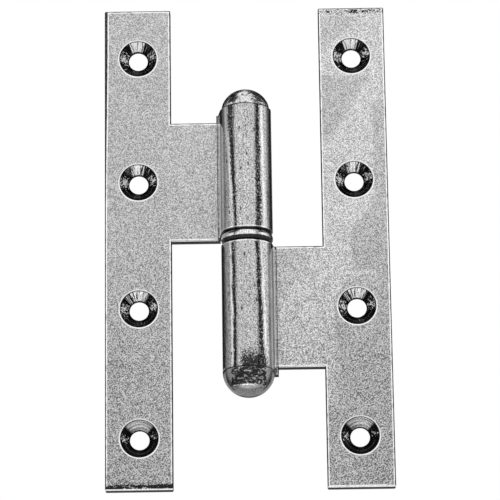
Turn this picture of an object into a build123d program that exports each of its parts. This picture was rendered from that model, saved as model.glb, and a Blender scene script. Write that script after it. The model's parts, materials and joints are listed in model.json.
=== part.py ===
from build123d import *
from math import acos, atan2, degrees, hypot, pi, sqrt
import os

# Lift-off hinge, flat open and upright as it hangs on its frame. Millimetres.
# +Z runs up the pin, X runs across the open leaves and the countersunk faces look along -Y.
# The origin is on the pin's axis, halfway up the leaves.

# The blanks
leaf_height = 140.0
open_width = 80.0
sheet = 3.2
strip_width = 18.8
corner_radius = 0.4
face_edge_chamfer = 0.2

# The arm that carries the knuckle
arm_height = 34.9
arm_gap = 1.9
root_land = 0.4
root_clearance = 0.2

# The screw holes
screw_count = 4
screw_pitch = 37.0
screw_inset = 9.5
screw_hole_diameter = 5.4
countersink_diameter = 10.7
countersink_angle = 90.0

# The pin and the roll around it
pin_diameter = 8.0
running_clearance = 0.05
knuckle_length = 36.4
lip_overhang = 0.65
seam_gap = 0.15
lip_radius = 0.6
knuckle_end_chamfer = 0.3
bore_chamfer = 0.3

# The pin's tip
tip_chamfer = 1.2
tip_gap = 1.0

# The ring between the knuckles
ring_thickness = 3.2
ring_diameter = 14.5
ring_rim_radius = 2.0
ring_bore_clearance = 0.1

# The cap that closes the upper knuckle
cap_diameter = 13.4
cap_dome_height = 5.7
cap_edge_radius = 4.0
cap_land = 0.3
spigot_length = 6.0
spigot_clearance = 0.02
spigot_chamfer = 0.5

# Worked out from the sizes above
reach = open_width / 2
pin_radius = pin_diameter / 2
bore_radius = pin_radius + running_clearance
knuckle_radius = bore_radius + sheet
front_y = bore_radius
back_y = knuckle_radius
strip_inner = reach - strip_width
lip_reach = knuckle_radius + lip_overhang
tongue_root = lip_reach + root_land
arm_root = knuckle_radius + root_clearance
arm_bottom = arm_gap / 2
arm_top = arm_bottom + arm_height
knuckle_bottom = ring_thickness / 2
knuckle_top = knuckle_bottom + knuckle_length

# The free end leaves the knuckle's circle along a tangent that meets the leaf's front face at lip_reach.
lip_angle = atan2(front_y, lip_reach)
tangent_angle = degrees(pi - lip_angle + acos(knuckle_radius / hypot(lip_reach, front_y)))
round_direction = Vector(1, 0).rotate(Axis.Z, tangent_angle)
free_direction = round_direction.rotate(Axis.Z, -90)


def free_end(radius):
    """Where the line that leaves a circle of this radius along the tangent stops, short of the leaf."""
    start = round_direction * radius
    return start + free_direction * ((front_y - seam_gap - start.Y) / free_direction.Y)


def arcs_about_pin(piece):
    """The piece's arcs about the pin's axis in groups of one radius, the tightest first."""
    arcs = piece.edges().filter_by(GeomType.CIRCLE)
    return arcs.filter_by(lambda arc: abs(arc.arc_center.X) < running_clearance).group_by(SortBy.RADIUS)


# Upper leaf: the left, door half. Its blank is one strip with an arm, and the arm's tongue is rolled
# forwards around the pin until its free end meets the leaf's own front face.
with BuildPart() as upper_leaf:
    with BuildSketch(Plane.XZ.offset(-back_y)) as blank:
        with BuildLine():
            Polyline(
                (-reach, -leaf_height / 2),
                (-strip_inner, -leaf_height / 2),
                (-strip_inner, arm_bottom),
                (-arm_root, arm_bottom),
                (-arm_root, arm_top),
                (-strip_inner, arm_top),
                (-strip_inner, leaf_height / 2),
                (-reach, leaf_height / 2),
                close=True,
            )
        make_face()
        strip_ends = blank.vertices().group_by(Axis.Y)
        fillet(strip_ends[0] + strip_ends[-1], corner_radius)
    extrude(amount=sheet)
    front_edges = upper_leaf.faces().sort_by(Axis.Y)[0].outer_wire().edges()
    chamfer(front_edges.sort_by(Axis.X)[:-1], face_edge_chamfer)

    screw_line = Plane((screw_inset - reach, front_y, 0), x_dir=(1, 0, 0), z_dir=(0, -1, 0))
    with Locations(screw_line):
        with GridLocations(screw_pitch, screw_pitch, 1, screw_count):
            CounterSinkHole(
                screw_hole_diameter / 2,
                countersink_diameter / 2,
                counter_sink_angle=countersink_angle,
            )

    with BuildSketch(Plane.XY.offset(knuckle_bottom)) as roll:
        with BuildLine():
            tongue_back = Line((-tongue_root, back_y), (0, back_y))
            outer_round = CenterArc((0, 0), knuckle_radius, 90, tangent_angle - 450)
            outer_free = Line(outer_round @ 1, free_end(knuckle_radius))
            end_face = Line(outer_free @ 1, free_end(bore_radius))
            inner_free = Line(end_face @ 1, round_direction * bore_radius)
            inner_round = CenterArc((0, 0), bore_radius, tangent_angle, 450 - tangent_angle)
            tongue_front = Line(inner_round @ 1, (-tongue_root, front_y))
            Line(tongue_front @ 1, tongue_back @ 0)
        make_face()
        fillet(roll.vertices().sort_by_distance(free_end(knuckle_radius))[0], lip_radius)
    extrude(amount=knuckle_length)
    chamfer(arcs_about_pin(upper_leaf)[0], bore_chamfer)
    chamfer(arcs_about_pin(upper_leaf)[-1], knuckle_end_chamfer)
upper_leaf.part.label = "upper_leaf"

# Lower leaf: the right, frame half, from the same blank turned upside down.
with BuildPart() as lower_leaf:
    add(upper_leaf.part, rotation=(0, 180, 0))
lower_leaf.part.label = "lower_leaf"

# Pin: fixed in the lower knuckle, with a round head below it and a tapered tip for hanging the door half.
cap_seat = knuckle_top
pin_tip = cap_seat - spigot_length - tip_gap
with BuildPart() as pin:
    with BuildSketch(Plane.XZ):
        with BuildLine():
            head_round = CenterArc((0, -knuckle_top), knuckle_radius, -90, 90)
            Polyline(
                head_round @ 1,
                (pin_radius, -knuckle_top),
                (pin_radius, pin_tip - tip_chamfer),
                (pin_radius - tip_chamfer, pin_tip),
                (0, pin_tip),
                head_round @ 0,
            )
        make_face()
    revolve(axis=Axis.Z)
pin.part.label = "pin"

# Ring: a loose, round-edged washer that carries the upper knuckle on the lower one.
ring_radius = ring_diameter / 2
ring_bore_radius = pin_radius + ring_bore_clearance
ring_face = ring_thickness / 2
flat_radius = ring_radius - ring_rim_radius + sqrt(ring_rim_radius**2 - ring_face**2)
with BuildPart() as ring:
    with BuildSketch(Plane.XZ):
        with BuildLine():
            rim = ThreePointArc((flat_radius, -ring_face), (ring_radius, 0), (flat_radius, ring_face))
            Polyline(rim @ 1, (ring_bore_radius, ring_face), (ring_bore_radius, -ring_face), rim @ 0)
        make_face()
    revolve(axis=Axis.Z)
ring.part.label = "ring"

# Cap: a domed plug pressed into the top of the upper knuckle. Its dome is a tight arc at the rim that runs
# smoothly into the wider arc of the crown.
cap_radius = cap_diameter / 2
edge_inset = cap_radius - cap_edge_radius
crown_rise = cap_dome_height - cap_edge_radius
crown_radius = (edge_inset**2 + cap_dome_height**2 - cap_edge_radius**2) / (2 * crown_rise)
edge_angle = degrees(atan2(crown_radius - cap_dome_height, edge_inset))
spigot_radius = bore_radius - spigot_clearance
spigot_end = cap_seat - spigot_length
with BuildPart() as cap:
    with BuildSketch(Plane.XZ):
        with BuildLine():
            edge = JernArc((cap_radius, cap_seat + cap_land), (0, 1), cap_edge_radius, edge_angle)
            crown = JernArc(edge @ 1, edge % 1, crown_radius, 90 - edge_angle)
            Polyline(
                crown @ 1,
                (0, spigot_end),
                (spigot_radius - spigot_chamfer, spigot_end),
                (spigot_radius, spigot_end + spigot_chamfer),
                (spigot_radius, cap_seat),
                (cap_radius, cap_seat),
                edge @ 0,
            )
        make_face()
    revolve(axis=Axis.Z)
cap.part.label = "cap"

os.makedirs("parts", exist_ok=True)
for piece in (upper_leaf, lower_leaf, pin, ring, cap):
    export_step(piece.part, f"parts/{piece.part.label}.step")
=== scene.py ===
import json
from math import cos, hypot, pi, radians, sin

import bpy
from bpy.props import FloatProperty, FloatVectorProperty, PointerProperty
from mathutils import Matrix, Vector


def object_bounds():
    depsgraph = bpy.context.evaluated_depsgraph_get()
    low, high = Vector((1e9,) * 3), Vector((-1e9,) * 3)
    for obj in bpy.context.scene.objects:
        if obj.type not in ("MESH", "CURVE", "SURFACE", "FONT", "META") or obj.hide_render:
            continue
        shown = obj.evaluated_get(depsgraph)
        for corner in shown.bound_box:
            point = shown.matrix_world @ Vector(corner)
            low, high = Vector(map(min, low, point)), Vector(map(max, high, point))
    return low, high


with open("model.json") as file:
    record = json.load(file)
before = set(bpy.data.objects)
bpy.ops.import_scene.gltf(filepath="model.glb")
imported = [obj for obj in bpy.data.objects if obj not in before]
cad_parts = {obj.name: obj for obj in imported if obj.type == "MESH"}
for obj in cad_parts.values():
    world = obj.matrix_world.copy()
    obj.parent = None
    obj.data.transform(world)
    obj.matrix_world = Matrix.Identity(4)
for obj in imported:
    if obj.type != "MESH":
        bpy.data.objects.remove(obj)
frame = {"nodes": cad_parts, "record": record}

bl_info = {
    "name": "Lift-off Hinge Finishes",
    "version": (1, 0, 0),
    "blender": (4, 5, 0),
    "location": "View3D > Sidebar > Hinge",
    "description": "Finishes, studio and camera for a flat-open lift-off hinge",
    "category": "Object",
}

# The frame is in metres. Finishes are described in millimetres, as the hinge itself is.
MM = 0.001
cad_low, cad_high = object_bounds()
mounts = {mount["name"]: mount for mount in frame["record"]["mounts"]}
screws = mounts["door_screws_inner"]
screw_radius = screws["dims"]["hole_r_mm"]


def grey(level):
    return (level, level, level)


class HingeFinish(bpy.types.PropertyGroup):
    """Colours and sizes of the hinge's surfaces"""

    face_colour: FloatVectorProperty(
        name="Leaf faces",
        description="Colour of the matte blank faces",
        subtype="COLOR",
        default=grey(0.68),
    )
    polished_colour: FloatVectorProperty(
        name="Polished roll",
        description="Colour of the polished knuckles",
        subtype="COLOR",
        default=grey(0.55),
    )
    # The countersinks are painted near black as shade; this is the colour of their machining marks, which
    # carry painted reflections.
    countersink_colour: FloatVectorProperty(
        name="Countersinks",
        description="Colour of the machined marks in the countersinks",
        subtype="COLOR",
        default=grey(0.95),
    )
    pin_colour: FloatVectorProperty(
        name="Pin",
        description="Colour of the pin and its round head",
        subtype="COLOR",
        default=grey(0.42),
    )
    ring_colour: FloatVectorProperty(
        name="Ring",
        description="Colour of the ring between the knuckles",
        subtype="COLOR",
        default=grey(0.85),
    )
    cap_colour: FloatVectorProperty(
        name="Cap",
        description="Colour of the domed cap",
        subtype="COLOR",
        default=grey(0.78),
    )
    # The grime colour serves both real dirt and painted shade: dark walls, edge lines, seams, rims and dark
    # bands.
    grime_and_shade_colour: FloatVectorProperty(
        name="Grime",
        description="Colour of dirt in pits, along edges and in scuffs",
        subtype="COLOR",
        default=grey(0.02),
    )
    grain_size: FloatProperty(
        name="Grain size",
        description="Size of one speckle of the matte faces, in millimetres",
        default=0.23,
    )
    sheet: FloatProperty(
        name="Sheet",
        description="Thickness of the sheet that the leaves are made of",
        unit="LENGTH",
        default=3.2 * MM,
    )
    strip_width: FloatProperty(
        name="Strip width",
        description="Width of the strip that holds the screws",
        unit="LENGTH",
        default=18.8 * MM,
    )
    arm_bottom: FloatProperty(
        name="Arm bottom",
        description="Height of the arm's edge beside the ring, from the middle of the leaf",
        unit="LENGTH",
        default=0.95 * MM,
    )
    arm_top: FloatProperty(
        name="Arm top",
        description="Height of the arm's far edge, from the middle of the leaf",
        unit="LENGTH",
        default=35.85 * MM,
    )
    roll_reach: FloatProperty(
        name="Roll reach",
        description="How far the rolled knuckle's lip reaches from the pin's axis",
        unit="LENGTH",
        default=7.95 * MM,
    )
    countersink_radius: FloatProperty(
        name="Countersink radius",
        description="Radius of a countersink at the leaf's face",
        unit="LENGTH",
        default=5.35 * MM,
    )


class HingeStage(bpy.types.PropertyGroup):
    """Camera, floor, cards and surroundings of the hinge"""

    lens: FloatProperty(
        name="Lens",
        description="Focal length of the camera, in millimetres on a 36 mm sensor",
        default=216.95,
    )
    distance: FloatProperty(
        name="Distance",
        description="Distance from the camera to the hinge",
        unit="LENGTH",
        default=842.6 * MM,
    )
    tilt: FloatProperty(
        name="Tilt",
        description="How far the camera looks up at the hinge from below",
        subtype="ANGLE",
        default=0.2792,
    )
    turn: FloatProperty(
        name="Turn",
        description="How far the camera is turned round the hinge",
        subtype="ANGLE",
        default=0.0039,
    )
    roll: FloatProperty(
        name="Roll",
        description="How far the camera is rolled about its own line of sight",
        subtype="ANGLE",
        default=-0.0142,
    )
    aside: FloatProperty(
        name="Aside",
        description="How far the hinge lies to the right of the line of sight",
        unit="LENGTH",
        default=-0.7783 * MM,
    )
    above: FloatProperty(
        name="Above",
        description="How far the hinge lies above the line of sight",
        unit="LENGTH",
        default=2.9177 * MM,
    )
    floor_depth: FloatProperty(
        name="Floor depth",
        description="How far the floor lies below the middle of the hinge",
        unit="LENGTH",
        default=0.6,
    )
    floor_size: FloatProperty(
        name="Floor size",
        description="Width of the floor",
        unit="LENGTH",
        default=12.0,
    )
    card_radius: FloatProperty(
        name="Card radius",
        description="Distance from the hinge to the cards that it reflects",
        unit="LENGTH",
        default=0.5,
    )
    ambient: FloatProperty(
        name="Ambient",
        description="Strength of the white surroundings as light",
        default=1.0,
    )


class Field:
    """A value that varies over a surface, with arithmetic that adds Math nodes to its tree."""

    def __init__(self, tree, socket):
        self.tree = tree
        self.socket = socket

    def math(self, operation, *others, clamp=False):
        step = self.tree.nodes.new("ShaderNodeMath")
        step.operation = operation
        step.use_clamp = clamp
        for place, term in zip(step.inputs, (self, *others)):
            plug(self.tree, term, place)
        return Field(self.tree, step.outputs[0])

    def __add__(self, other):
        return self.math("ADD", other)

    def __sub__(self, other):
        return self.math("SUBTRACT", other)

    def __rsub__(self, other):
        return (self * -1) + other

    def __mul__(self, other):
        return self.math("MULTIPLY", other)

    def __truediv__(self, other):
        return self.math("DIVIDE", other)

    def __rtruediv__(self, other):
        return self.math("POWER", -1.0) * other

    def __abs__(self):
        return self.math("ABSOLUTE")

    def least(self, other):
        return self.math("MINIMUM", other)

    def most(self, other):
        return self.math("MAXIMUM", other)

    def whole(self):
        return self.math("FLOOR")

    def root(self):
        return self.math("SQRT")

    def clamped(self):
        return self.math("ADD", 0.0, clamp=True)

    def rise(self, low, high, start=0.0, end=1.0):
        """Runs smoothly from start to end as this value goes from low to high."""
        step = self.tree.nodes.new("ShaderNodeMapRange")
        step.interpolation_type = "SMOOTHSTEP"
        for name, term in (("From Min", low), ("From Max", high), ("To Min", start), ("To Max", end)):
            plug(self.tree, term, step.inputs[name])
        plug(self.tree, self, step.inputs["Value"])
        return Field(self.tree, step.outputs["Result"])

    def under(self, limit, soft):
        """One below a limit and nothing above it, with a soft border."""
        return self.rise(limit - soft, limit + soft, 1.0, 0.0)

    def over(self, limit, soft):
        """One above a limit and nothing below it, with a soft border."""
        return self.rise(limit - soft, limit + soft)

    def within(self, low, high, soft):
        """One between low and high, and nothing beyond, with soft borders."""
        return self.over(low, soft) * self.under(high, soft)


def plug(tree, term, place):
    """Puts a field, a socket or a plain value into a node's input."""
    if isinstance(term, Field):
        tree.links.new(term.socket, place)
    elif isinstance(term, bpy.types.NodeSocket):
        tree.links.new(term, place)
    else:
        place.default_value = term


def axes(tree, vector):
    """The three parts of a vector, as fields."""
    parts = tree.nodes.new("ShaderNodeSeparateXYZ")
    plug(tree, vector, parts.inputs[0])
    return [Field(tree, output) for output in parts.outputs]


def vector(tree, x, y, z):
    """A vector from three fields or numbers."""
    joined = tree.nodes.new("ShaderNodeCombineXYZ")
    for place, term in zip(joined.inputs, (x, y, z)):
        plug(tree, term, place)
    return joined.outputs[0]


def scaled(tree, place, factors):
    """A position stretched by a factor on each axis."""
    step = tree.nodes.new("ShaderNodeVectorMath")
    step.operation = "MULTIPLY"
    plug(tree, place, step.inputs[0])
    plug(tree, factors, step.inputs[1])
    return step.outputs[0]


def noise(tree, place, scale, detail=2.0, roughness=0.5, distortion=0.0):
    """Cloudy noise from about -1 to 1."""
    step = tree.nodes.new("ShaderNodeTexNoise")
    step.inputs["Detail"].default_value = detail
    step.inputs["Roughness"].default_value = roughness
    step.inputs["Distortion"].default_value = distortion
    plug(tree, place, step.inputs["Vector"])
    plug(tree, scale, step.inputs["Scale"])
    return (Field(tree, step.outputs["Fac"]) - 0.5) * 2.0


def specks(tree, place, scale):
    """How far it is to the nearest of many scattered points, and that point's own random number."""
    step = tree.nodes.new("ShaderNodeTexVoronoi")
    plug(tree, place, step.inputs["Vector"])
    plug(tree, scale, step.inputs["Scale"])
    chance = axes(tree, step.outputs["Color"])[0]
    return Field(tree, step.outputs["Distance"]), chance


def blended(tree, share, first, second):
    """The first colour where share is nothing, and the second where it is one."""
    step = tree.nodes.new("ShaderNodeMix")
    step.data_type = "RGBA"
    plug(tree, share, step.inputs["Factor"])
    for place, colour in ((step.inputs["A"], first), (step.inputs["B"], second)):
        if isinstance(colour, bpy.types.NodeSocket):
            tree.links.new(colour, place)
        else:
            place.default_value = (*colour, 1.0)
    return step.outputs["Result"]


def toned(tree, colour, level):
    """A plain colour made lighter or darker by a field."""
    step = tree.nodes.new("ShaderNodeVectorMath")
    step.operation = "SCALE"
    step.inputs[0].default_value = colour
    plug(tree, level, step.inputs["Scale"])
    return step.outputs[0]


def spots(rough, cover):
    """Sharp-edged spots where this noise is high: hardly any at a cover of zero and nearly all at one."""
    return (rough * 1.6 + (cover * 2.0 - 1.0)).rise(-0.12, 0.12)


def effect(name, inputs, outputs, build):
    """A shader node group with these inputs and outputs.

    build gets the group's tree and its inputs as fields, and returns the outputs' fields in order.
    """
    if name in bpy.data.node_groups:
        return bpy.data.node_groups[name]
    tree = bpy.data.node_groups.new(name, "ShaderNodeTree")
    for title, default in inputs:
        kind = "NodeSocketVector" if default is None else "NodeSocketFloat"
        socket = tree.interface.new_socket(name=title, in_out="INPUT", socket_type=kind)
        if default is not None:
            socket.default_value = default
    for title in outputs:
        tree.interface.new_socket(name=title, in_out="OUTPUT", socket_type="NodeSocketFloat")
    entry = tree.nodes.new("NodeGroupInput")
    result = tree.nodes.new("NodeGroupOutput")
    fields = [
        entry.outputs[title] if default is None else Field(tree, entry.outputs[title])
        for title, default in inputs
    ]
    for title, field in zip(outputs, build(tree, *fields)):
        plug(tree, field, result.inputs[title])
    return tree


def placed(tree, group, **values):
    """An effect placed in a material, with values for its inputs. Gives its outputs by name."""
    step = tree.nodes.new("ShaderNodeGroup")
    step.node_tree = group
    for title, value in values.items():
        plug(tree, value, step.inputs[title.replace("_", " ")])
    return {output.name: Field(tree, output) for output in step.outputs}


def grain_effect():
    """Fine speckle of a blasted or tumbled surface, from about -1 to 1."""

    def build(tree, position, size):
        fine = noise(tree, position, 1.0 / (size * MM), detail=0.0)
        coarse = noise(tree, position, 0.3 / (size * MM), detail=1.0)
        return [fine.rise(-0.4, 0.4, -1.0, 0.75) + coarse * 0.2]

    return effect("grain", [("Position", None), ("Size", 0.4)], ["Grain"], build)


def drawn_lines_effect():
    """Long fine lines along the pin's axis, left by polishing."""

    def build(tree, position, size):
        along = scaled(tree, position, (1.0, 1.0, 0.06))
        lines = noise(tree, along, 1.0 / (size * MM), detail=2.0, roughness=0.6)
        broad = noise(tree, along, 0.25 / (size * MM), detail=1.0)
        return [lines * 0.7 + broad * 0.3]

    return effect("drawn_lines", [("Position", None), ("Size", 0.5)], ["Lines"], build)


def clouds_effect():
    """Soft patches of lighter and darker tone."""

    def build(tree, position, size):
        return [noise(tree, position, 1.0 / (size * MM), detail=2.0, distortion=0.4)]

    return effect("clouds", [("Position", None), ("Size", 20.0)], ["Cloud"], build)


def nicks_effect():
    """Small scattered dents.

    Share is how many of them show, and Stretch draws them out along the pin's axis.
    """

    def build(tree, position, spacing, size, share, stretch):
        drawn = scaled(tree, position, vector(tree, 1.0, 1.0, 1.0 / stretch))
        distance, chance = specks(tree, drawn, 1.0 / (spacing * MM))
        wobble = noise(tree, position, 1.5 / (size * MM)) * 0.25 + 1.0
        reach = size / spacing * 0.5 * wobble
        shown = chance.rise(share - 0.01, share + 0.01, 1.0, 0.0)
        return [distance.rise(reach * 0.6, reach, 1.0, 0.0) * shown]

    inputs = [("Position", None), ("Spacing", 6.0), ("Size", 0.5), ("Share", 0.3), ("Stretch", 1.0)]
    return effect("nicks", inputs, ["Nick"], build)


def pitting_effect():
    """Dark mottled pitting, thick where Cover is high and drawn out along the pin's axis by Stretch."""

    def build(tree, position, size, cover, stretch):
        drawn = scaled(tree, position, vector(tree, 1.0, 1.0, 1.0 / stretch))
        return [spots(noise(tree, drawn, 1.0 / (size * MM), detail=2.0, roughness=0.6), cover)]

    inputs = [("Position", None), ("Size", 0.6), ("Cover", 0.5), ("Stretch", 1.0)]
    return effect("pitting", inputs, ["Pit"], build)


# How far from the middle of the hinge a roll begins, and the length of its streaks, in millimetres.
ROLL_START = 2.0
ROLL_LENGTH = 36.0


def dark_reflection_streak_effect():
    """A dark streak down the front of a roll, from Near beside the ring to Far at the roll's outer end: a
    painted dark reflection, which the roll lays down as specks of pitting.

    Cover is how thick its specks lie, and Gleam is the painted highlight along its outer side. Its places
    and widths are in millimetres.
    """

    def build(tree, position, near, far, near_width, far_width):
        x, _, z = (part / MM for part in axes(tree, position))
        along = (abs(z) - ROLL_START) / ROLL_LENGTH
        sway = noise(tree, scaled(tree, position, (0.2, 0.2, 1.0)), 1.0 / (9.0 * MM)) * 0.5
        width = near_width + (far_width - near_width) * along
        aside = (x - (near + (far - near) * along) + sway) / width
        outward = aside * near.math("SIGN")
        return [abs(aside).rise(0.2, 1.3, 1.0, 0.0), outward.within(1.0, 1.6, 0.2)]

    inputs = [("Position", None), ("Near", 3.0), ("Far", 3.0), ("Near width", 0.5), ("Far width", 0.5)]
    return effect("streak", inputs, ["Cover", "Gleam"], build)


# No turned piece reaches further than TURNED_WIDTH from the pin's axis, in millimetres, so the painted shade
# and the glints of a piece whose width is ALL_ROUND go all round it.
TURNED_WIDTH = 10.0
ALL_ROUND = 2 * TURNED_WIDTH


def turned_marks_effect():
    """Marks of a tumbled turned piece between two heights: lines round it, dirt, painted glints, painted
    shade and dents.

    Dirt is the share that dirt covers, and the next input the share of light flecks, which are painted
    glints. From
    Thick low to Thick high, painted shade covers the share Thick: a dark band that stands in for a dark
    reflection.
    This band and the flecks keep to the front, within Thick width of the middle, or go all round where that
    is
    ALL_ROUND. Seat is the height of the black line of painted shade where the piece meets a knuckle.
    """

    def build(tree, position, dirt, glints, low, high, seat, thick_low, thick_high, thick_width, thick):
        def mottle(stretch, size, detail=3.0, roughness=0.6):
            return noise(tree, scaled(tree, position, stretch), 1.0 / (size * MM), detail, roughness)

        x, y, z = (part / MM for part in axes(tree, position))
        lines = mottle((0.1, 0.1, 1.0), 0.35, detail=2.0, roughness=0.5)
        dents = mottle((0.6, 0.6, 1.0), 0.8)
        drops = mottle((0.7, 0.7, 1.2), 0.7)
        flecks = mottle((0.5, 0.5, 1.5), 0.6)
        marked = z.over(low, 0.4) * z.under(high, 0.4)
        ragged = z + dents * 0.3
        # Painted shade: a band from Thick low to Thick high, standing in for a dark reflection.
        zone = ragged.over(thick_low, 0.15) * ragged.under(thick_high, 0.15)
        ahead = (thick_width - abs(x) + dents * 0.5).over(0.0, 0.3) * y.under(0.0, 1.0)
        ahead = ahead.most(thick_width.over(TURNED_WIDTH, 0.5))
        # Dark spots are dirt, and in the band painted shade; light flecks are painted glints.
        dark = spots(drops, (dirt * marked).most(zone * ahead * thick))
        light = spots(flecks, glints * marked * ahead)
        # Painted shade: a black line where the piece meets a knuckle.
        seam_shadow = abs(z - seat + lines * 0.1).under(0.2, 0.06)
        return [lines, dark.most(seam_shadow), light * (1.0 - seam_shadow), dents]

    inputs = [
        ("Position", None),
        ("Dirt", 0.3),
        ("Bare", 0.2),
        ("Low", -50.0),
        ("High", 50.0),
        ("Seat", 0.0),
        ("Thick low", 0.0),
        ("Thick high", 0.0),
        ("Thick width", 5.0),
        ("Thick", 0.0),
    ]
    return effect("turned_marks", inputs, ["Lines", "Dark", "Light", "Dents"], build)


# Marks in a countersink, machining marks with painted reflections, in millimetres: the middles of its bright
# flecks, across and up from the hole's middle, and how far from the hole's edge the faint arc of painted
# reflection below it lies and the bright cone reaches.
LEFT_FLECKS = (-4.0, 0.2)
RIGHT_FLECKS = (4.1, 0.9)
LOW_ARC = (1.2, 1.6)
MACHINED_WIDTH = 2.42


def countersink_marks_and_reflections_effect():
    """Machining marks in a countersink, painted as reflections: bright above the hole and in flecks at both
    sides, black between.

    The marks above run out from the hole, and in the lowest row of holes round it. They fade to a dark line
    of painted shade towards the countersink's rim.
    """

    def build(tree, position, across, up, from_hole, row):
        def distance_from(place):
            aside, above = across - place[0], up - place[1]
            return (aside * aside + above * above).root()

        angle = up.math("ARCTAN2", across)
        lowest = row.under(-1.5, 0.2)
        middle = row.under(-0.5, 0.2) * (1.0 - lowest)
        spread = lowest * 0.22 + middle * 0.1 + 0.6
        lean = lowest * -0.1 + 0.1
        aside = abs(angle - pi / 2 - lean) / spread
        round_the_hole = vector(tree, angle * 15.0, row * 3.1, from_hole * 0.3)
        chatter = noise(tree, round_the_hole, 1.0, detail=2.0, roughness=0.6)
        arcs = noise(tree, vector(tree, angle * 0.6, row * 1.7, from_hole * 2.8), 1.0, detail=1.0)
        # Machining lines with painted reflection, brightest above the hole.
        radial = (chatter * 4.0 + aside.rise(0.1, 1.7, 0.75, -1.5)).rise(-0.4, 0.7)
        turned = aside.under(1.0, 0.12) * (arcs.rise(-0.4, 0.4, 0.3, 1.0) + chatter * 0.2)
        machined = radial * (1.0 - lowest) + turned * lowest * 0.8
        mottle = noise(tree, position, 1.0 / (0.5 * MM), detail=2.0, roughness=0.6)
        # Painted reflections: bright flecks at both sides of the hole.
        nearest = distance_from(LEFT_FLECKS).least(distance_from(RIGHT_FLECKS) + 0.3)
        flecks = (mottle * 3.2 + 1.0 - nearest * 0.75 - lowest * 0.5).rise(0.0, 0.8)
        # Painted reflection: a faint arc below the hole.
        low_arc = (from_hole + mottle * 0.4).within(*LOW_ARC, 0.12) * up.under(-1.0, 0.5) * 0.08
        marks_and_painted_light = machined.most(flecks * 0.9).most(low_arc)
        # Painted shade: the marks fade to a dark line outside the machined cone, by the rim.
        rim_line = from_hole.under(mottle * 0.1 + MACHINED_WIDTH, 0.05) * 0.85 + 0.15
        return [(marks_and_painted_light * from_hole.over(0.25, 0.12) * rim_line).clamped()]

    inputs = [
        ("Position", None),
        ("Hole across", 0.0),
        ("Hole up", 0.0),
        ("From hole", 0.0),
        ("Hole row", 0.0),
    ]
    return effect("countersink_marks", inputs, ["Marks"], build)


def blank_zones_effect(finish):
    """Where a point lies on a leaf's blank.

    Turned is 1 for the upper leaf and -1 for the one turned over. The distances come out in millimetres.
    """
    screw_x = abs(screws["pos_m"][0])
    pitch = screws["dims"]["spacing_y_mm"] * MM
    back_y = cad_high.y
    front_y = back_y - finish.sheet
    reach = cad_high.x
    half_height = cad_high.z
    strip_inner = reach - finish.strip_width

    def build(tree, position, turned):
        x, y, z = axes(tree, position)
        out = x * turned * -1.0
        up = z * turned
        row = (z / pitch).whole()
        hole_up = z - (row + 0.5) * pitch
        hole_across = x + turned * screw_x
        from_hole = (hole_up * hole_up + hole_across * hole_across).root()
        ahead_of_back = y.under(back_y - 0.04 * MM, 0.02 * MM)
        sink = from_hole.under(finish.countersink_radius, 0.02 * MM) * ahead_of_back
        strip_edge = (reach - out).least(out - strip_inner).least(half_height - abs(up))
        arm_edge = (up - finish.arm_bottom).least(finish.arm_top - up).least(reach - out)
        return [
            out.under(finish.roll_reach, 0.02 * MM),
            sink,
            from_hole / MM - screw_radius,
            hole_across / MM,
            hole_up / MM,
            row,
            strip_edge.most(arm_edge) / MM,
            (up + half_height) / MM,
            y.under(front_y + 0.4 * MM, 0.1 * MM),
        ]

    outputs = [
        "Roll",
        "Countersink",
        "From hole",
        "Hole across",
        "Hole up",
        "Hole row",
        "Edge distance",
        "End distance",
        "Front",
    ]
    return effect("blank_zones", [("Position", None), ("Turned", 1.0)], outputs, build)


def side_of(x, z, first, second, soft):
    """One on the right of the line from the first point to the second, and nothing on its left."""
    run, rise = second[0] - first[0], second[1] - first[1]
    length = hypot(run, rise)
    return ((x - first[0]) * (rise / length) - (z - first[1]) * (run / length)).over(0.0, soft)


def patches_effect(name, patches):
    """Soft patches with straight borders: each a level, a softness and the lines it lies on the right of."""

    def build(tree, position):
        x, _, z = axes(tree, position)
        x, z = x / MM, z / MM
        total = x * 0.0
        for level, soft, *lines in patches:
            inside = x * 0.0 + level
            for first, second in lines:
                inside = inside * side_of(x, z, first, second, soft)
            total = total.most(inside)
        return [total]

    return effect(name, [("Position", None)], ["Patch"], build)


# Darker patches of the faces, in millimetres across and up from the pin's middle.
LEFT_PATCHES = ((0.05, 1.2, ((-22.5, 40.0), (-22.5, -40.0))),)
RIGHT_PATCHES = (
    (0.2, 0.8, ((42.5, 60.0), (24.6, 31.7)), ((20.0, 49.5), (40.0, 49.5)), ((40.0, 30.0), (20.0, 30.0))),
    (0.14, 0.8, ((33.5, 67.2), (26.7, 61.0)), ((20.0, 67.5), (40.0, 67.5))),
    (0.18, 0.5, ((36.1, 10.0), (36.1, 44.0)), ((20.0, 42.0), (40.0, 42.0))),
    (0.2, 0.5, ((29.2, 3.2), (36.3, 12.3)), ((29.1, -8.2), (29.1, 8.0)), ((40.0, -8.2), (20.0, -8.2))),
    (0.2, 0.9, ((24.3, -16.0), (29.4, -10.6)), ((24.2, -40.0), (24.2, 0.0)), ((20.0, -9.9), (40.0, -9.9))),
    (0.06, 1.0, ((10.7, -34.5), (24.1, -26.4))),
    (0.2, 4.0, ((30.0, -40.0), (30.0, -80.0)), ((20.0, -46.0), (40.0, -46.0))),
    (0.08, 0.9, ((19.7, -2.9), (9.7, -15.1)), ((0.0, -1.9), (20.0, -1.9))),
)


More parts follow.
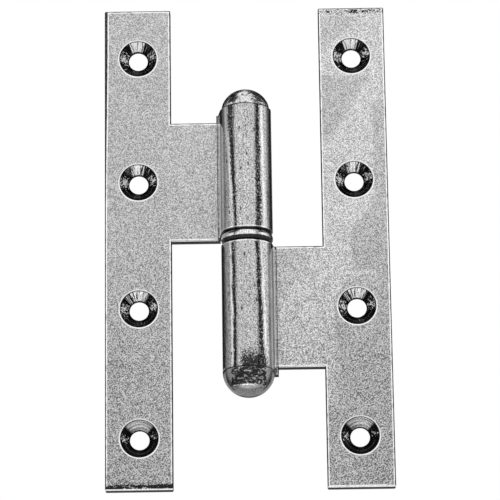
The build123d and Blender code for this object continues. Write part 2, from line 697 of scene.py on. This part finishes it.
# Each leaf's own wear and painted shading: the tone of its faces, how far its outer edge is rolled over at
# the top, which widens the painted dark outline there, how thick the scuffs lie along the end away from the
# arm and where they thin out, the painted shade at the left and right of the roll's front, how thick the
# pits lie at the roll's lower end, and the roll's dark streaks, which are painted reflections laid down as
# specks. Each streak has its place beside the ring and at the roll's far end, its width at both, and how
# thick its specks lie.
UPPER_WEAR_AND_SHADING = {
    "tone": 1.0,
    "rolled edge": 0.55,
    "scuff": 0.8,
    "scuff reach": (1.0, 2.5),
    "painted shading": (1.0, 1.0),
    "end pits": 0.0,
    "streaks": ((-3.1, -4.3, 0.5, 1.1, 0.7), (3.3, 3.4, 1.4, 0.9, 0.62)),
}
LOWER_WEAR_AND_SHADING = {
    "tone": 1.2,
    "rolled edge": 0.0,
    "scuff": 0.56,
    "scuff reach": (1.0, 2.8),
    "painted shading": (0.95, 1.0),
    "end pits": 1.0,
    "streaks": ((-3.9, -3.6, 0.6, 0.6, 0.72), (2.8, 3.8, 0.8, 1.0, 0.66)),
}

# The lines along the edges of a leaf's face and round its countersinks, in millimetres from the edge: a dark
# outline of painted shade, a bright line of painted highlight inside it, the painted highlights along the
# lower edges and end, and the bright rim of painted highlight round a countersink.
DARK_OUTLINE = 0.28
EDGE_HIGHLIGHT = (0.3, 0.62)
LIT_EDGE = 0.24
LIT_END = 0.34
COUNTERSINK_RIM = 0.34

# How far behind the pin's axis a leaf's side walls begin and end, in millimetres. The walls are painted dark
# as shade.
WALL_FRONT = 4.3
WALL_BACK = cad_high.y / MM - 0.1

# The painted lines down a roll on the lip's side and at its foot, in millimetres sideways from the pin's
# axis:
# reflections of two ripples with a gleam between them, a highlight along the lip's edge, the shadow in the
# seam where the lip meets the leaf and the shadow on the face at its foot; and how far behind that axis the
# lip ends.
SOFT_RIPPLE = (5.75, 6.3)
RIPPLE_GLEAM = (6.35, 6.75)
RIPPLE = (6.9, 7.2)
LIP_HIGHLIGHT = (7.32, 7.7)
LIP_SEAM_SHADOW = 7.77
LIP_FOOT_SHADOW = (7.93, 8.2)
LIP_BACK = 3.95

# The heights of a roll's rims, painted dark as shade, of the painted glint beside the ring and of its lip's
# end, which is painted dark as shade, in millimetres from the middle of the hinge.
NEAR_RIM = 1.86
FAR_RIM = 37.9
RIM_GLINT = (1.95, 2.25)
LIP_SHADED_END = 36.9

MATTE_ROUGHNESS = 0.42
POLISHED_ROUGHNESS = 0.15


def new_material(name):
    """An empty metal material, with its tree, its shader and the position on the object, in metres."""
    material = bpy.data.materials.new(name)
    material.use_nodes = True
    tree = material.node_tree
    shader = tree.nodes["Principled BSDF"]
    shader.inputs["Metallic"].default_value = 1.0
    position = tree.nodes.new("ShaderNodeTexCoord").outputs["Object"]
    return material, tree, shader, position


def relief(tree, shader, height, depth, edge_radius):
    """Bump of this depth in millimetres on the shader, over edges softened by edge_radius millimetres."""
    bump = tree.nodes.new("ShaderNodeBump")
    bump.inputs["Strength"].default_value = 1.0
    bump.inputs["Distance"].default_value = depth * MM
    plug(tree, height, bump.inputs["Height"])
    bevel = tree.nodes.new("ShaderNodeBevel")
    bevel.samples = 6
    bevel.inputs["Radius"].default_value = edge_radius * MM
    tree.links.new(bevel.outputs["Normal"], bump.inputs["Normal"])
    tree.links.new(bump.outputs["Normal"], shader.inputs["Normal"])


class LeafSurface:
    """Where a point lies on a leaf, in millimetres, and the noises that the leaf's finishes share.

    out is how far the point lies from the pin's axis towards the leaf's outer edge, and down is one where
    the surface faces down.
    """

    def __init__(self, tree, position, finish, turned):
        self.tree = tree
        self.position = position
        self.grime_and_shade_colour = finish.grime_and_shade_colour
        self.zone = placed(tree, blank_zones_effect(finish), Position=position, Turned=turned)
        self.front = self.zone["Front"]
        self.x, self.y, self.z = (part / MM for part in axes(tree, position))
        self.out = self.x * -turned
        self.grain = placed(tree, grain_effect(), Position=position, Size=finish.grain_size)["Grain"]
        self.lines = placed(tree, drawn_lines_effect(), Position=position, Size=0.35)["Lines"]
        self.wander = noise(tree, position, 1.0 / (1.8 * MM), detail=3.0)
        self.fray = noise(tree, position, 1.0 / (0.5 * MM), detail=3.0, roughness=0.7)
        normal = tree.nodes.new("ShaderNodeTexCoord").outputs["Normal"]
        self.down = axes(tree, normal)[2].under(-0.3, 0.1)

    def mark(self, effect_tree, **values):
        """The first output of an effect that is placed here."""
        outputs = placed(self.tree, effect_tree, Position=self.position, **values)
        return next(iter(outputs.values()))

    # Darkens a colour towards the grime colour, for real dirt and for painted shade.
    def dirtied_and_shaded(self, colour, share):
        return blended(self.tree, share, colour, self.grime_and_shade_colour)

    # Lightens a colour towards white, for painted highlights.
    def with_painted_highlight(self, colour, share):
        return blended(self.tree, share, colour, grey(1.0))


def blank_face(at, finish, patches, wear_and_shading):
    """The matte face of a blank: speckled, a little cloudy, coarser towards its lower end, and darker there
    with painted shade.
    """
    cloud = at.mark(clouds_effect(), Size=16.0)
    patch = at.mark(patches) * at.front
    speck = at.mark(nicks_effect(), Spacing=2.0, Size=0.42, Share=0.4, Stretch=1.0)
    coarseness = at.z.rise(-70.0, 40.0, 0.74, 0.5)
    # Painted shade: the faces darken towards their lower end, and the patches darken them too.
    shade_and_patches = at.z.rise(-75.0, 45.0, 0.74, 0.89) * (1.0 - patch)
    speckle = at.grain * coarseness + cloud * 0.08 + 1.0
    matte = toned(at.tree, finish.face_colour, shade_and_patches * speckle * wear_and_shading["tone"])
    return at.dirtied_and_shaded(matte, speck * 0.7)


def worn_and_shaded_edges(at, matte, wear_and_shading):
    """The scuffs along a leaf's edges, the painted highlights and painted shade along them, and its side
    walls, painted dark as shade.

    Gives the colour, and where the bright line, the lit lower edges and the walls are.
    """
    edge, end = at.zone["Edge distance"], at.zone["End distance"]
    rolled = at.z.rise(5.0, 66.0, 0.0, wear_and_shading["rolled edge"])
    inset = edge.least(at.x + cad_high.x / MM - rolled) + at.wander * 0.08
    # Painted highlight: a bright line just inside the face's edges.
    edge_highlight = inset.within(*EDGE_HIGHLIGHT, 0.05) * at.front * at.wander.rise(-0.5, 0.1, 0.3, 1.0)
    # Painted highlight along the face's lower end.
    lit_end = (at.z + cad_high.z / MM).under(LIT_END, 0.05) * at.front * at.fray.rise(-0.4, 0.1, 0.35, 1.0)
    # Painted shade: a dark outline along the face's edges, wider where the edge is rolled over, but not
    # where they face down.
    edge_shade = inset.under(DARK_OUTLINE, 0.06) * at.front * (1.0 - at.down) * (1.0 - lit_end)
    # Painted highlight along the edges that face down.
    lit_edge = (inset.under(LIT_EDGE, 0.05) * at.front * at.down * 0.8).most(lit_end)
    cover = end.rise(*wear_and_shading["scuff reach"], 1.0, 0.08) * at.wander.rise(-0.4, 0.4, 0.6, 1.15)
    cover = cover * end.over(LIT_END, 0.05) * wear_and_shading["scuff"] * at.front
    scuffs = at.mark(pitting_effect(), Size=0.55, Cover=cover, Stretch=0.6)
    # Painted shade: the side walls are darkened, most where they face down.
    shaded_wall = (1.0 - at.y.under(WALL_FRONT, 0.05)) * at.y.under(WALL_BACK, 0.05) * edge.under(0.08, 0.03)

    matte = at.with_painted_highlight(matte, edge_highlight)
    matte = at.dirtied_and_shaded(matte, edge_shade * at.fray.rise(-0.5, 0.1, 0.6, 0.98))
    matte = at.dirtied_and_shaded(matte, scuffs * 0.99)
    matte = at.with_painted_highlight(matte, lit_edge * 0.95)
    matte = at.dirtied_and_shaded(matte, shaded_wall * (at.down * 0.4 + 0.56))
    return matte, edge_highlight, lit_edge, shaded_wall


def polished_roll(at, finish, wear_and_shading):
    """The roll's polish: fine lines, nicks, painted shade across its front, dark streaks that are painted
    reflections laid down as pits, painted highlights along them, and the pits at its lower end.

    Gives the colour, and where its surface is dented.
    """
    ahead = at.y.under(0.0, 0.3)
    nick = at.mark(nicks_effect(), Spacing=1.8, Size=0.6, Share=0.6, Stretch=2.5)
    # Painted shade: the polish can be toned darker at the left of the roll's front than at its right.
    tone = at.x.rise(-3.5, 3.5, *wear_and_shading["painted shading"]) * (at.grain * 0.62 + at.lines * 0.4 + 1.0)
    polish = at.dirtied_and_shaded(toned(at.tree, finish.polished_colour, tone), nick * 0.85)
    thick = at.z.rise(-37.5, -29.5, 0.7, 0.1) * at.x.within(-2.4, 5.4, 1.2) * wear_and_shading["end pits"]
    # The dark streaks are painted reflections laid down as pits, each with a painted highlight along its
    # outer side.
    for near, far, near_width, far_width, density in wear_and_shading["streaks"]:
        streak = placed(
            at.tree,
            dark_reflection_streak_effect(),
            Position=at.position,
            Near=near,
            Far=far,
            Near_width=near_width,
            Far_width=far_width,
        )
        thick = thick.most(streak["Cover"] * density)
        polish = at.with_painted_highlight(polish, streak["Gleam"] * ahead * at.lines.rise(-0.4, 0.2, 0.0, 0.6))
    pits = at.mark(pitting_effect(), Size=0.3, Cover=thick * ahead, Stretch=1.7)
    return at.dirtied_and_shaded(polish, pits * 0.98), nick + pits


def roll_lines(at, polish):
    """Painted light down the roll's lip and round its ends: dark reflections of the ripples with a painted
    gleam between them, a light strip of painted highlight along the lip, the painted shadow in its seam and
    at its end, dark rims of painted shade and a painted glint beside the ring.

    Gives the colour, and where the light strip is.
    """
    lip = at.y.under(LIP_BACK, 0.05)
    # Painted shade at the lip's outer end.
    shaded_lip_end = abs(at.z).over(LIP_SHADED_END, 0.5) * at.out.over(6.95, 0.12)
    # Painted reflections of the ripples: dark lines down the roll's side.
    ripple_reflection = (at.out.within(*RIPPLE, 0.06) * 0.9).most(at.out.within(*SOFT_RIPPLE, 0.1) * 0.25)
    # Painted shadow in the seam where the lip meets the leaf's face.
    seam_shadow = at.out.over(LIP_SEAM_SHADOW, 0.03).most(shaded_lip_end * 0.9)
    # Painted highlight: a light strip along the lip's edge.
    lip_highlight = at.out.within(*LIP_HIGHLIGHT, 0.05) * lip * (1.0 - shaded_lip_end) * at.lines.rise(-0.5, 0.2, 0.5, 1.0)
    # Painted shade: dark lines round the roll's rims, in the gaps beside the ring, the cap and the pin's
    # head.
    rim_shadows = abs(at.z).under(NEAR_RIM, 0.03).most(abs(at.z).over(FAR_RIM, 0.03))
    # Painted highlight: a glint just beside the ring.
    glint = abs(at.z).within(*RIM_GLINT, 0.05) * at.wander.rise(-0.4, 0.2, 0.4, 0.9)

    polish = at.dirtied_and_shaded(polish, ripple_reflection * at.lines.rise(-0.5, 0.2, 0.5, 1.0))
    # Painted highlight: a gleam between the ripples.
    polish = at.with_painted_highlight(polish, at.out.within(*RIPPLE_GLEAM, 0.1) * at.lines.rise(-0.4, 0.3, 0.2, 0.8))
    polish = at.dirtied_and_shaded(polish, seam_shadow * lip * at.lines.rise(-0.5, 0.2, 0.7, 0.98))
    polish = at.with_painted_highlight(polish, lip_highlight * 0.9)
    polish = at.dirtied_and_shaded(polish, rim_shadows * 0.92)
    return at.with_painted_highlight(polish, glint), lip_highlight


def leaf_steel(name, finish, turned, patches, wear_and_shading):
    """A leaf's steel: matte speckled faces, countersinks painted black as shade, worn edges with painted
    highlights and shade, and a polished roll with painted reflections.

    turned is 1 for the upper leaf and -1 for the one turned over, and the last argument holds this leaf's
    own wear and painted shading.
    """
    material, tree, shader, position = new_material(name)
    at = LeafSurface(tree, position, finish, turned)
    roll, countersink = at.zone["Roll"], at.zone["Countersink"]

    matte = blank_face(at, finish, patches_effect(name + "_patches", patches), wear_and_shading)
    matte, edge_highlight, lit_edge, shaded_wall = worn_and_shaded_edges(at, matte, wear_and_shading)
    from_rim = at.zone["From hole"] - (finish.countersink_radius / MM - screw_radius)
    # Painted highlight: a bright rim round each countersink, brightest below the hole.
    rim_highlight = from_rim.within(0.0, COUNTERSINK_RIM, 0.06) * at.front
    rim_highlight = rim_highlight * at.zone["Hole up"].rise(-1.5, 3.5, 1.0, 0.6)
    matte = at.with_painted_highlight(matte, rim_highlight)
    # Painted shadow: a dark line on the face along the foot of the roll's lip.
    foot_shadow = at.out.within(*LIP_FOOT_SHADOW, 0.03) * at.front * at.fray.rise(-0.6, 0.0, 0.4, 0.9)
    matte = at.dirtied_and_shaded(matte, foot_shadow)

    marks_and_painted_light = at.mark(
        countersink_marks_and_reflections_effect(),
        Hole_across=at.zone["Hole across"],
        Hole_up=at.zone["Hole up"],
        From_hole=at.zone["From hole"],
        Hole_row=at.zone["Hole row"],
    )
    polish, dented = polished_roll(at, finish, wear_and_shading)
    polish, lip_highlight = roll_lines(at, polish)
    colour = blended(tree, roll, matte, polish)
    # Painted shade: the countersinks are near black, with their marks and painted reflections on top.
    colour = blended(tree, countersink, colour, toned(tree, finish.countersink_colour, marks_and_painted_light + 0.012))
    plug(tree, colour, shader.inputs["Base Color"])
    # Painted highlights are made less metallic, so that they stay bright in any light.
    lit = (countersink * marks_and_painted_light * 0.8).most(rim_highlight * 0.6).most(lit_edge * (1.0 - shaded_wall) * 0.6)
    plug(tree, 1.0 - lit.most(lip_highlight * roll * 0.6), shader.inputs["Metallic"])

    gloss = roll.rise(0.0, 1.0, MATTE_ROUGHNESS, POLISHED_ROUGHNESS) + at.grain * 0.04 - countersink * 0.16
    gloss = gloss - (edge_highlight + rim_highlight + shaded_wall * at.down) * roll.rise(0.0, 1.0, 0.25, 0.0)
    plug(tree, gloss.clamped(), shader.inputs["Roughness"])
    height = at.grain * roll.rise(0.0, 1.0, 1.0, 0.2) + at.lines * roll * 1.2 - dented * roll * 2.0
    relief(tree, shader, height, depth=0.01, edge_radius=0.2)
    return material


def turned_steel(name, finish, colour, roughness, hammer, **wear_and_shading):
    """Steel of a turned piece, mottled and slightly dirty, with painted shade, painted glints and fine lines
    round the pin's axis.

    roughness is that of its clean steel, hammer is how dented it is, and the rest goes into its turned
    marks, with their painted shade and glints.
    """
    material, tree, shader, position = new_material(name)
    grain = placed(tree, grain_effect(), Position=position, Size=finish.grain_size)["Grain"]
    marks_and_painted_light = placed(tree, turned_marks_effect(), Position=position, **wear_and_shading)
    body = toned(tree, colour, grain * 0.4 + marks_and_painted_light["Lines"] * 0.15 + 1.0)
    # Painted glints: light flecks.
    body = blended(tree, marks_and_painted_light["Light"] * 0.9, body, grey(0.75))
    # Dirt, and painted shade in the band and at the seat line.
    body = blended(tree, marks_and_painted_light["Dark"] * 0.96, body, finish.grime_and_shade_colour)
    plug(tree, body, shader.inputs["Base Color"])
    plug(tree, 1.0 - marks_and_painted_light["Light"] * 0.75, shader.inputs["Metallic"])
    plug(tree, (grain * 0.04 + marks_and_painted_light["Dark"] * 0.2 + roughness).clamped(), shader.inputs["Roughness"])
    height = grain * 0.4 + marks_and_painted_light["Lines"] * 0.3 + marks_and_painted_light["Dents"] * hammer - marks_and_painted_light["Dark"] * 1.5
    relief(tree, shader, height, depth=0.01, edge_radius=0.15)
    return material


def dress(node, material):
    """Gives a piece of the frame one material in place of its plain ones."""
    slots = frame["nodes"][node].data.materials
    slots.clear()
    slots.append(material)


class HINGE_OT_finish_leaves(bpy.types.Operator):
    """Give both leaves their matte, polished and machined steel"""

    bl_idname = "hinge.finish_leaves"
    bl_label = "Finish Leaves"

    def execute(self, context):
        finish = context.scene.hinge_finish
        dress("upper_leaf", leaf_steel("upper_leaf_steel", finish, 1.0, LEFT_PATCHES, UPPER_WEAR_AND_SHADING))
        dress("lower_leaf", leaf_steel("lower_leaf_steel", finish, -1.0, RIGHT_PATCHES, LOWER_WEAR_AND_SHADING))
        return {"FINISHED"}


class HINGE_OT_finish_pin(bpy.types.Operator):
    """Give the pin and its round head their turned steel"""

    bl_idname = "hinge.finish_pin"
    bl_label = "Finish Pin"

    def execute(self, context):
        finish = context.scene.hinge_finish
        dress("pin", turned_steel(
            "pin_steel",
            finish,
            finish.pin_colour,
            roughness=0.12,
            hammer=0.6,
            Dirt=0.22,
            # Painted glints; the seat line and the band below it on the head's front are painted shade, the
            # band standing in for a dark reflection.
            Bare=0.33,
            Low=-43.5,
            High=-38.0,
            Seat=-38.0,
            Thick_low=-42.7,
            Thick_high=-38.2,
            Thick_width=4.9,
            Thick=0.6,
        ))
        return {"FINISHED"}


class HINGE_OT_finish_ring(bpy.types.Operator):
    """Give the ring its polished steel"""

    bl_idname = "hinge.finish_ring"
    bl_label = "Finish Ring"

    def execute(self, context):
        finish = context.scene.hinge_finish
        dress("ring", turned_steel(
            "ring_steel",
            finish,
            finish.ring_colour,
            roughness=0.1,
            hammer=0.3,
            Dirt=0.2,
            # Painted glints; a band of painted shade all round the ring's lower half stands in for a dark
            # reflection, and the seat line is painted shade in the gap above the ring.
            Bare=0.2,
            Low=-2.0,
            High=2.0,
            Seat=1.6,
            Thick_low=-1.7,
            Thick_high=-0.35,
            Thick_width=ALL_ROUND,
            Thick=0.9,
        ))
        return {"FINISHED"}


class HINGE_OT_finish_cap(bpy.types.Operator):
    """Give the domed cap its mottled steel"""

    bl_idname = "hinge.finish_cap"
    bl_label = "Finish Cap"

    def execute(self, context):
        finish = context.scene.hinge_finish
        dress("cap", turned_steel(
            "cap_steel",
            finish,
            finish.cap_colour,
            roughness=0.12,
            hammer=0.5,
            Dirt=0.36,
            # Painted glints, and a seat line of painted shade in the gap where the cap meets the knuckle.
            Bare=0.27,
            Low=38.0,
            High=44.0,
            Seat=38.05,
            Thick_width=ALL_ROUND,
        ))
        return {"FINISHED"}


def direction(azimuth, elevation):
    """The direction from the hinge at azimuth degrees right of the viewer and elevation degrees up."""
    a, e = radians(azimuth), radians(elevation)
    return Vector((sin(a) * cos(e), -cos(a) * cos(e), sin(e)))


def seen_in_gloss(thing):
    """Lets a thing show in reflections alone, so that it hides nothing and lights nothing."""
    thing.visible_camera = False
    thing.visible_diffuse = False
    thing.visible_transmission = False
    thing.visible_volume_scatter = False
    thing.visible_shadow = False


def card(name, points, faces, shade):
    """A card that only the hinge's metal sees, as an even shade."""
    mesh = bpy.data.meshes.new(name)
    mesh.from_pydata(points, [], faces)
    holder = bpy.data.objects.new(name, mesh)
    bpy.context.scene.collection.objects.link(holder)
    material = bpy.data.materials.new(name + "_paint")
    material.use_nodes = True
    tree = material.node_tree
    tree.nodes.clear()
    glow = tree.nodes.new("ShaderNodeEmission")
    glow.inputs["Color"].default_value = (1.0, 1.0, 1.0, 1.0)
    glow.inputs["Strength"].default_value = shade
    output = tree.nodes.new("ShaderNodeOutputMaterial")
    tree.links.new(glow.outputs[0], output.inputs["Surface"])
    mesh.materials.append(material)
    seen_in_gloss(holder)


def bent_card(name, azimuths, elevations, shade, radius, lean):
    """A card bent round the hinge between two azimuths and two elevations, in degrees.

    lean is how many degrees of azimuth it gains for each degree below its upper edge.
    """
    columns = max(1, round((azimuths[1] - azimuths[0]) / CARD_STEP))
    rows = max(1, round((elevations[1] - elevations[0]) / CARD_STEP))
    points = []
    for row in range(rows + 1):
        for column in range(columns + 1):
            azimuth = azimuths[0] + (azimuths[1] - azimuths[0]) * column / columns
            elevation = elevations[0] + (elevations[1] - elevations[0]) * row / rows
            points.append(direction(azimuth + lean * (elevations[1] - elevation), elevation) * radius)
    faces = []
    for row in range(rows):
        for column in range(columns):
            first = row * (columns + 1) + column
            faces.append((first, first + 1, first + columns + 2, first + columns + 1))
    card(name, points, faces, shade)


def level_card(name, centre, width, depth, shade):
    """A level card under the hinge."""
    x, y, z = centre
    corners = [(-width, -depth), (width, -depth), (width, depth), (-width, depth)]
    points = [(x + across / 2, y + back / 2, z) for across, back in corners]
    card(name, points, [(0, 1, 2, 3)], shade)


# The cards that the metal reflects: each one's azimuths and elevations in degrees, its shade, its distance
# as a share of the card radius, and how it leans. Near cards hide far ones.
CARD_STEP = 6.0
NEAR = 0.97
MIDDLE = 1.0
FAR = 1.04
CARDS = (
    ("strip_left", (-62.0, -50.0), (-60.0, 75.0), 0.3, NEAR, 0.0),
    ("strip_right", (42.0, 58.0), (-60.0, 75.0), 0.3, NEAR, 0.0),
    ("band_left", (-104.0, -80.0), (-60.0, 32.0), 0.55, MIDDLE, 0.0),
    ("side_left", (-119.0, -104.0), (-4.0, 34.0), 0.1, MIDDLE, 0.0),
    ("glint_left", (-127.0, -119.0), (-4.0, 34.0), 0.4, MIDDLE, 0.0),
    ("line_left", (-150.0, -127.0), (4.0, 34.0), 0.01, MIDDLE, 0.0),
    ("arc_left", (-122.0, -106.0), (-36.0, 2.0), 0.01, NEAR, -0.69),
    ("edge_left", (-178.0, -150.0), (4.0, 32.0), 0.06, MIDDLE, 0.0),
    ("grey_right", (106.0, 126.0), (-4.0, 32.0), 0.75, MIDDLE, 0.0),
    ("line_right", (126.0, 150.0), (4.0, 34.0), 0.01, MIDDLE, 0.0),
    ("arc_right", (106.0, 122.0), (-36.0, 2.0), 0.01, NEAR, 0.69),
    ("edge_right", (150.0, 178.0), (4.0, 32.0), 0.1, MIDDLE, 0.0),
    ("high_left", (-175.0, -50.0), (32.0, 70.0), 0.03, NEAR, 0.0),
    ("high_right", (50.0, 175.0), (32.0, 48.0), 0.03, NEAR, 0.0),
    ("top_right", (72.0, 175.0), (48.0, 72.0), 0.03, NEAR, 0.0),
    ("low_front", (-105.0, 105.0), (-62.0, 3.0), 0.68, FAR, 0.0),
    ("low_left", (-180.0, -105.0), (-62.0, 4.0), 0.5, FAR, 0.0),
    ("low_right", (105.0, 180.0), (-62.0, 4.0), 0.5, FAR, 0.0),
    ("low_back", (168.0, 192.0), (-30.0, -4.0), 0.15, MIDDLE, 0.0),
    ("below", (100.0, 260.0), (-90.0, -58.0), 0.45, FAR, 0.0),
    ("high_back", (112.0, 248.0), (25.0, 60.0), 0.3, FAR, 0.0),
)


def seen_directly(tree):
    """One for rays that show the surroundings, straight or in metal and glass, and nothing for the rest."""
    path = tree.nodes.new("ShaderNodeLightPath")
    straight, glossy, through = (
        Field(tree, path.outputs[name]) for name in ("Is Camera Ray", "Is Glossy Ray", "Is Transmission Ray")
    )
    return straight.most(glossy).most(through)


def white_surroundings(stage):
    """White all round, at a plain level as light."""
    world = bpy.data.worlds.new("white_surroundings")
    bpy.context.scene.world = world
    world.use_nodes = True
    tree = world.node_tree
    background = tree.nodes["Background"]
    background.inputs["Color"].default_value = (1.0, 1.0, 1.0, 1.0)
    plug(tree, seen_directly(tree).rise(0.0, 1.0, stage.ambient, 1.0), background.inputs["Strength"])


def pale_floor(stage):
    """A plain white floor under the hinge, which keeps its shadow."""
    half = stage.floor_size / 2
    mesh = bpy.data.meshes.new("floor")
    corners = [(-half, -half), (half, -half), (half, half), (-half, half)]
    mesh.from_pydata([(x, y, -stage.floor_depth) for x, y in corners], [], [(0, 1, 2, 3)])
    floor = bpy.data.objects.new("floor", mesh)
    bpy.context.scene.collection.objects.link(floor)
    material = bpy.data.materials.new("floor_paint")
    material.use_nodes = True
    tree = material.node_tree
    shader = tree.nodes["Principled BSDF"]
    shader.inputs["Base Color"].default_value = (0.9, 0.9, 0.9, 1.0)
    shader.inputs["Roughness"].default_value = 1.0
    shader.inputs["Specular IOR Level"].default_value = 0.0
    shader.inputs["Emission Color"].default_value = (1.0, 1.0, 1.0, 1.0)
    plug(tree, seen_directly(tree) * 0.1, shader.inputs["Emission Strength"])
    mesh.materials.append(material)


def soft_lamp(name, azimuth, elevation, distance, width, height, power):
    """A soft rectangular lamp that faces the hinge."""
    lamp = bpy.data.lights.new(name, "AREA")
    lamp.shape = "RECTANGLE"
    lamp.size = width
    lamp.size_y = height
    lamp.energy = power
    holder = bpy.data.objects.new(name, lamp)
    bpy.context.scene.collection.objects.link(holder)
    outward = direction(azimuth, elevation)
    holder.location = outward * distance
    holder.rotation_euler = outward.to_track_quat("Z", "Y").to_euler()
    holder.visible_camera = False


def aim_camera(stage):
    """The camera that shows the hinge from the front and a little from below."""
    right = Vector((cos(stage.turn), sin(stage.turn), 0.0))
    level = cos(stage.tilt)
    forward = Vector((-level * sin(stage.turn), level * cos(stage.turn), sin(stage.tilt)))
    up = right.cross(forward)
    place = right * -stage.aside - up * stage.above - forward * stage.distance
    rolled_right = right * cos(stage.roll) + up * sin(stage.roll)
    rolled_up = up * cos(stage.roll) - right * sin(stage.roll)
    turned = Matrix((rolled_right, rolled_up, -forward)).transposed().to_4x4()
    data = bpy.data.cameras.new("camera")
    data.sensor_width = 36.0
    data.lens = stage.lens
    data.clip_start = 0.01
    data.clip_end = 100.0
    camera = bpy.data.objects.new("camera", data)
    bpy.context.scene.collection.objects.link(camera)
    camera.matrix_world = Matrix.Translation(place) @ turned
    bpy.context.scene.camera = camera


class HINGE_OT_set_stage(bpy.types.Operator):
    """Set the floor, the white surroundings, the cards, the lamps and the camera"""

    bl_idname = "hinge.set_stage"
    bl_label = "Set Stage"

    def execute(self, context):
        stage = context.scene.hinge_stage
        white_surroundings(stage)
        pale_floor(stage)
        for name, azimuths, elevations, shade, distance, lean in CARDS:
            bent_card(name, azimuths, elevations, shade, stage.card_radius * distance, lean)
        level_card("under_glow", centre=(0.0, -0.1, -0.3), width=0.36, depth=0.008, shade=8.0)
        soft_lamp("key", azimuth=78.0, elevation=30.0, distance=1.1, width=0.25, height=0.8, power=0.2)
        soft_lamp("fill", azimuth=-84.0, elevation=25.0, distance=1.1, width=0.2, height=0.6, power=0.12)
        aim_camera(stage)
        context.scene.view_settings.view_transform = "Standard"
        return {"FINISHED"}


class HINGE_PT_finishes(bpy.types.Panel):
    """Finishes, stage and the buttons that make them"""

    bl_label = "Lift-off Hinge"
    bl_idname = "HINGE_PT_finishes"
    bl_space_type = "VIEW_3D"
    bl_region_type = "UI"
    bl_category = "Hinge"

    def draw(self, context):
        layout = self.layout
        for settings in (context.scene.hinge_finish, context.scene.hinge_stage):
            box = layout.box()
            for name in settings.__annotations__:
                box.prop(settings, name)
        for operator in OPERATORS:
            layout.operator(operator.bl_idname)


OPERATORS = (
    HINGE_OT_finish_leaves,
    HINGE_OT_finish_pin,
    HINGE_OT_finish_ring,
    HINGE_OT_finish_cap,
    HINGE_OT_set_stage,
)
CLASSES = (HingeFinish, HingeStage, *OPERATORS, HINGE_PT_finishes)


def register():
    for entry in CLASSES:
        bpy.utils.register_class(entry)
    bpy.types.Scene.hinge_finish = PointerProperty(type=HingeFinish)
    bpy.types.Scene.hinge_stage = PointerProperty(type=HingeStage)


def unregister():
    del bpy.types.Scene.hinge_stage
    del bpy.types.Scene.hinge_finish
    for entry in reversed(CLASSES):
        bpy.utils.unregister_class(entry)


def main():
    register()
    bpy.ops.hinge.finish_leaves()
    bpy.ops.hinge.finish_pin()
    bpy.ops.hinge.finish_ring()
    bpy.ops.hinge.finish_cap()
    bpy.ops.hinge.set_stage()


if __name__ == "__main__":
    main()
